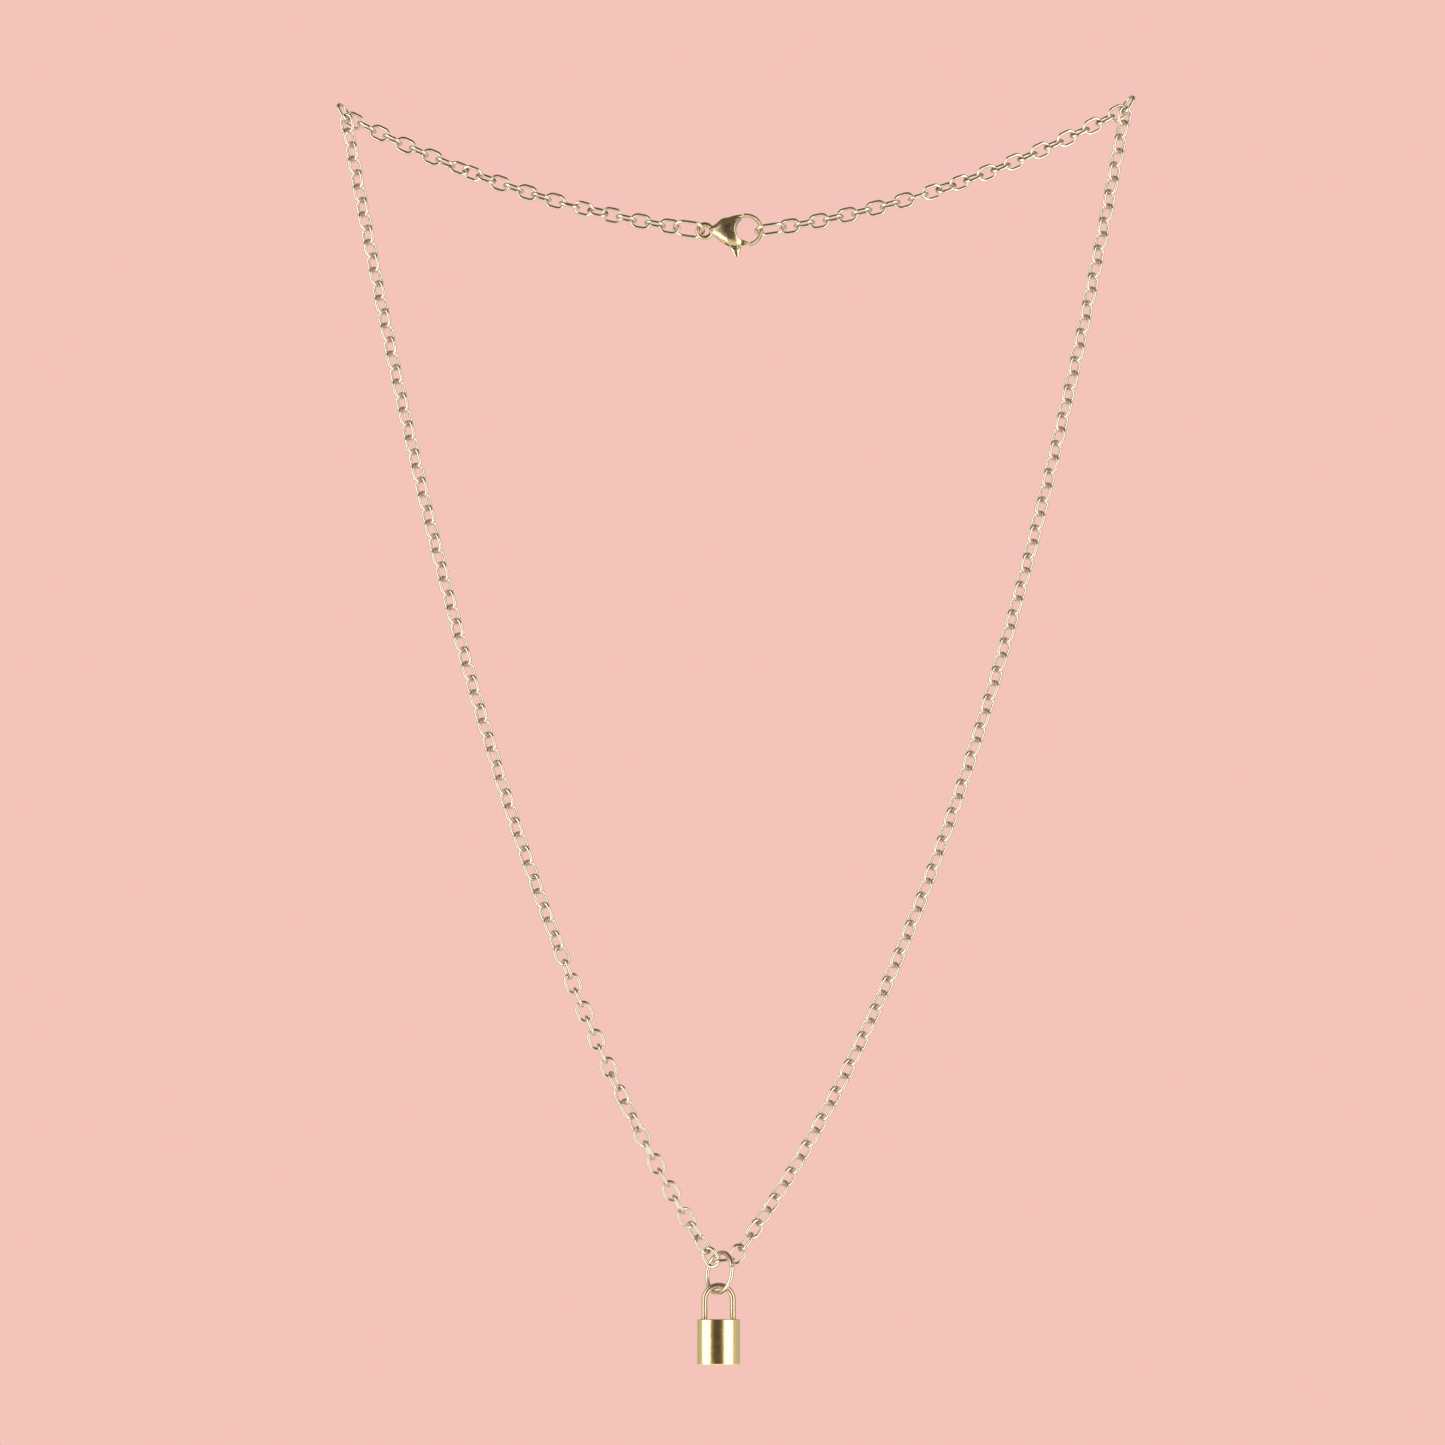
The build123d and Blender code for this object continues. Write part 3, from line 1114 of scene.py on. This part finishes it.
@dataclass
class Softbox:
    """A tall soft light that shows as a bright band on the metal.

    Attributes:
        name: Light name.
        bearing_deg: Direction from the necklace, 0 towards the camera, positive to its right.
        width_m: Width of the panel.
        height_m: Height of the panel.
        distance_m: Distance from the necklace.
        lift_m: Height of its centre above the pendant's.
        radiance: Brightness of the panel's face.
        tint: Colour of its light.
    """

    name: str
    bearing_deg: float
    width_m: float
    height_m: float = 1.7
    distance_m: float = 1.1
    lift_m: float = 0.05
    radiance: float = 2.3
    tint: Triple = (0.94, 1.0, 1.16)

    def build(self, target: Vector) -> None:
        """Place the light facing the target.

        Args:
            target: Point that it faces.
        """
        turn = math.radians(self.bearing_deg)
        offset = Vector((math.sin(turn), -math.cos(turn), 0.0)) * self.distance_m
        offset.z = self.lift_m
        bpy.ops.object.light_add(type="AREA", location=target + offset)
        lamp = bpy.context.object
        lamp.name = self.name
        lamp.rotation_euler = (-offset).to_track_quat("-Z", "Y").to_euler()
        lamp.data.shape = "RECTANGLE"
        lamp.data.size = self.width_m
        lamp.data.size_y = self.height_m
        lamp.data.energy = self.radiance * math.pi * self.width_m * self.height_m
        lamp.data.color = self.tint
        lamp.visible_camera = False
        log.info("placed %s", self.name)


@dataclass
class Studio:
    """Plain ground, a light tent and two softboxes.

    Attributes:
        ground: Colour behind the necklace, linear.
        softboxes: The two lights.
        bearings: Rows of bearing in degrees, 0 towards the camera, and the wall's brightness.
        ceiling: Brightness above.
        table: Brightness below.
        cap_fade: Heights, from 0 below to 1 above, between which the table turns to ceiling.
        wall_fade: Heights at which the table ends, the walls begin and end, and the ceiling begins.
    """

    ground: Triple = (0.905, 0.552, 0.491)
    softboxes: tuple[Softbox, ...] = (
        Softbox("softbox_left", bearing_deg=-55.0, width_m=0.86),
        Softbox("softbox_right", bearing_deg=41.0, width_m=0.78),
    )
    bearings: tuple[tuple[float, float], ...] = (
        (-180.0, 0.50),
        (-80.0, 0.62),
        (-33.0, 0.40),
        (-19.0, 0.07),
        (9.0, 0.07),
        (20.0, 0.40),
        (62.0, 0.66),
        (180.0, 0.50),
    )
    ceiling: float = 0.19
    table: float = 1.10
    cap_fade: tuple[float, float] = (0.3, 0.7)
    wall_fade: tuple[float, float, float, float] = (0.2, 0.35, 0.75, 0.9)

    def build(self, target: Vector) -> None:
        """Make the tent and place the lights.

        Args:
            target: Point that the lights face.
        """
        self._tent()
        for softbox in self.softboxes:
            softbox.build(target)

    def _tent(self) -> None:
        """World whose brightness follows direction, plain to the camera."""
        world = bpy.data.worlds.new("light_tent")
        bpy.context.scene.world = world
        world.use_nodes = True
        tree = world.node_tree
        tree.nodes.clear()
        place = tree.nodes.new("ShaderNodeTexCoord")
        parts = tree.nodes.new("ShaderNodeSeparateXYZ")
        tree.links.new(place.outputs["Generated"], parts.inputs["Vector"])
        toward = self._math(tree, "MULTIPLY", parts.outputs["Y"], -1.0)
        around = self._math(tree, "ARCTAN2", parts.outputs["X"], toward)
        share = tree.nodes.new("ShaderNodeMapRange")
        share.inputs["From Min"].default_value = -math.pi
        share.inputs["From Max"].default_value = math.pi
        tree.links.new(around, share.inputs["Value"])
        wall_stops = [((bearing + 180) / 360, glow(value)) for bearing, value in self.bearings]
        walls = self._ramp(tree, share.outputs["Result"], wall_stops)
        height = tree.nodes.new("ShaderNodeMapRange")
        height.inputs["From Min"].default_value = -1.0
        height.inputs["From Max"].default_value = 1.0
        tree.links.new(parts.outputs["Z"], height.inputs["Value"])
        low, high = glow(self.table), glow(self.ceiling)
        cap_stops = list(zip((0.0, *self.cap_fade), (low, low, high)))
        cap = self._ramp(tree, height.outputs["Result"], cap_stops)
        off, on = (0.0, 0.0, 0.0), (1.0, 1.0, 1.0)
        weight_stops = list(zip((0.0, *self.wall_fade), (on, on, off, off, on)))
        weight = self._ramp(tree, height.outputs["Result"], weight_stops)
        blend = tree.nodes.new("ShaderNodeMix")
        blend.data_type = "RGBA"
        tree.links.new(weight, blend.inputs["Factor"])
        tree.links.new(walls, blend.inputs["A"])
        tree.links.new(cap, blend.inputs["B"])
        tent = tree.nodes.new("ShaderNodeBackground")
        tree.links.new(blend.outputs["Result"], tent.inputs["Color"])
        plain = tree.nodes.new("ShaderNodeBackground")
        plain.inputs["Color"].default_value = (*self.ground, 1.0)
        rays = tree.nodes.new("ShaderNodeLightPath")
        choose = tree.nodes.new("ShaderNodeMixShader")
        tree.links.new(rays.outputs["Is Camera Ray"], choose.inputs["Fac"])
        tree.links.new(tent.outputs["Background"], choose.inputs[1])
        tree.links.new(plain.outputs["Background"], choose.inputs[2])
        output = tree.nodes.new("ShaderNodeOutputWorld")
        tree.links.new(choose.outputs["Shader"], output.inputs["Surface"])

    def _math(
        self,
        tree: bpy.types.NodeTree,
        operation: str,
        first: bpy.types.NodeSocket,
        second: bpy.types.NodeSocket | float,
    ) -> bpy.types.NodeSocket:
        """Add a math node.

        Args:
            tree: Node tree to add to.
            operation: Blender's name of the operation.
            first: First input's source.
            second: Second input's source, or its number.

        Returns:
            The result's socket.
        """
        node = tree.nodes.new("ShaderNodeMath")
        node.operation = operation
        tree.links.new(first, node.inputs[0])
        if isinstance(second, bpy.types.NodeSocket):
            tree.links.new(second, node.inputs[1])
        else:
            node.inputs[1].default_value = second
        return node.outputs["Value"]

    def _ramp(
        self,
        tree: bpy.types.NodeTree,
        source: bpy.types.NodeSocket,
        stops: list[tuple[float, Triple]],
    ) -> bpy.types.NodeSocket:
        """Add a colour ramp.

        Args:
            tree: Node tree to add to.
            source: Socket that drives the ramp.
            stops: Place and colour of each stop.

        Returns:
            The colour's socket.
        """
        node = tree.nodes.new("ShaderNodeValToRGB")
        elements = node.color_ramp.elements
        while len(elements) < len(stops):
            elements.new(0.5)
        for element, (place, colour) in zip(elements, stops):
            element.position = place
            element.color = (*colour, 1.0)
        tree.links.new(source, node.inputs["Fac"])
        return node.outputs["Color"]


@dataclass
class ViewCamera:
    """Camera level with the padlock that looks up along the necklace.

    Attributes:
        focus_mm: Point on the necklace's plane at the picture's centre.
        distance_mm: Distance from that point.
        rise_deg: How far it looks up.
        focal_px: Focal length in pixels of the square picture.
        sensor_mm: Sensor width.
        clip_mm: Distance from which things are seen.
    """

    focus_mm: Triple = (-2.5, 0.0, -116.5)
    distance_mm: float = 639.8
    rise_deg: float = 9.5
    focal_px: float = 3557.0
    sensor_mm: float = 36.0
    clip_mm: float = 10.0

    def build(self) -> None:
        """Create the camera and make it the scene's."""
        rise = math.radians(self.rise_deg)
        focus = Vector(self.focus_mm) * MM
        back = Vector((0.0, -math.cos(rise), -math.sin(rise))) * self.distance_mm * MM
        bpy.ops.object.camera_add(location=focus + back)
        camera = bpy.context.object
        camera.name = "view_camera"
        camera.rotation_euler = (-back).to_track_quat("-Z", "Y").to_euler()
        camera.data.sensor_width = self.sensor_mm
        camera.data.lens = self.focal_px / IMAGE_SIDE * self.sensor_mm
        camera.data.clip_start = self.clip_mm * MM
        bpy.context.scene.camera = camera
        log.info("camera at %s", tuple(round(v, 4) for v in camera.location))


def main() -> None:
    """Build the classes in order and report each piece."""
    logging.basicConfig(level=logging.INFO, format="%(name)s: %(message)s")
    bpy.context.scene.view_settings.view_transform = "Standard"
    ViewCamera().build()
    finishes = (CHAIN_GOLD, CLASP_GOLD, RING_GOLD, SHACKLE_SHADED_GOLD, PENDANT_GOLD)
    built = {finish: finish.build() for finish in finishes}
    PackedChain(CHAIN_GOLD).dress_all(built[CHAIN_GOLD])
    modelled = (
        PadlockBarrel("padlock_barrel", "padlock_body", "padlock", PENDANT_GOLD, smooth_deg=32.0),
        PadlockBow("padlock_bow", "padlock_shackle", "padlock", SHACKLE_SHADED_GOLD, smooth_deg=40.0),
        JumpRing("spun_ring", "jump_ring", "ring", RING_GOLD, smooth_deg=40.0),
        ClaspCasting("clasp_casting", "clasp_body", "necklace", CLASP_GOLD, smooth_deg=60.0),
        ClaspLever("clasp_gate", "clasp_lever", "lever", CLASP_GOLD, smooth_deg=60.0),
    )
    for piece in modelled:
        piece.build(built[piece.finish])
    low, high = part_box("padlock_body")
    Studio().build((low + high) / 2)


if __name__ == "__main__":
    main()
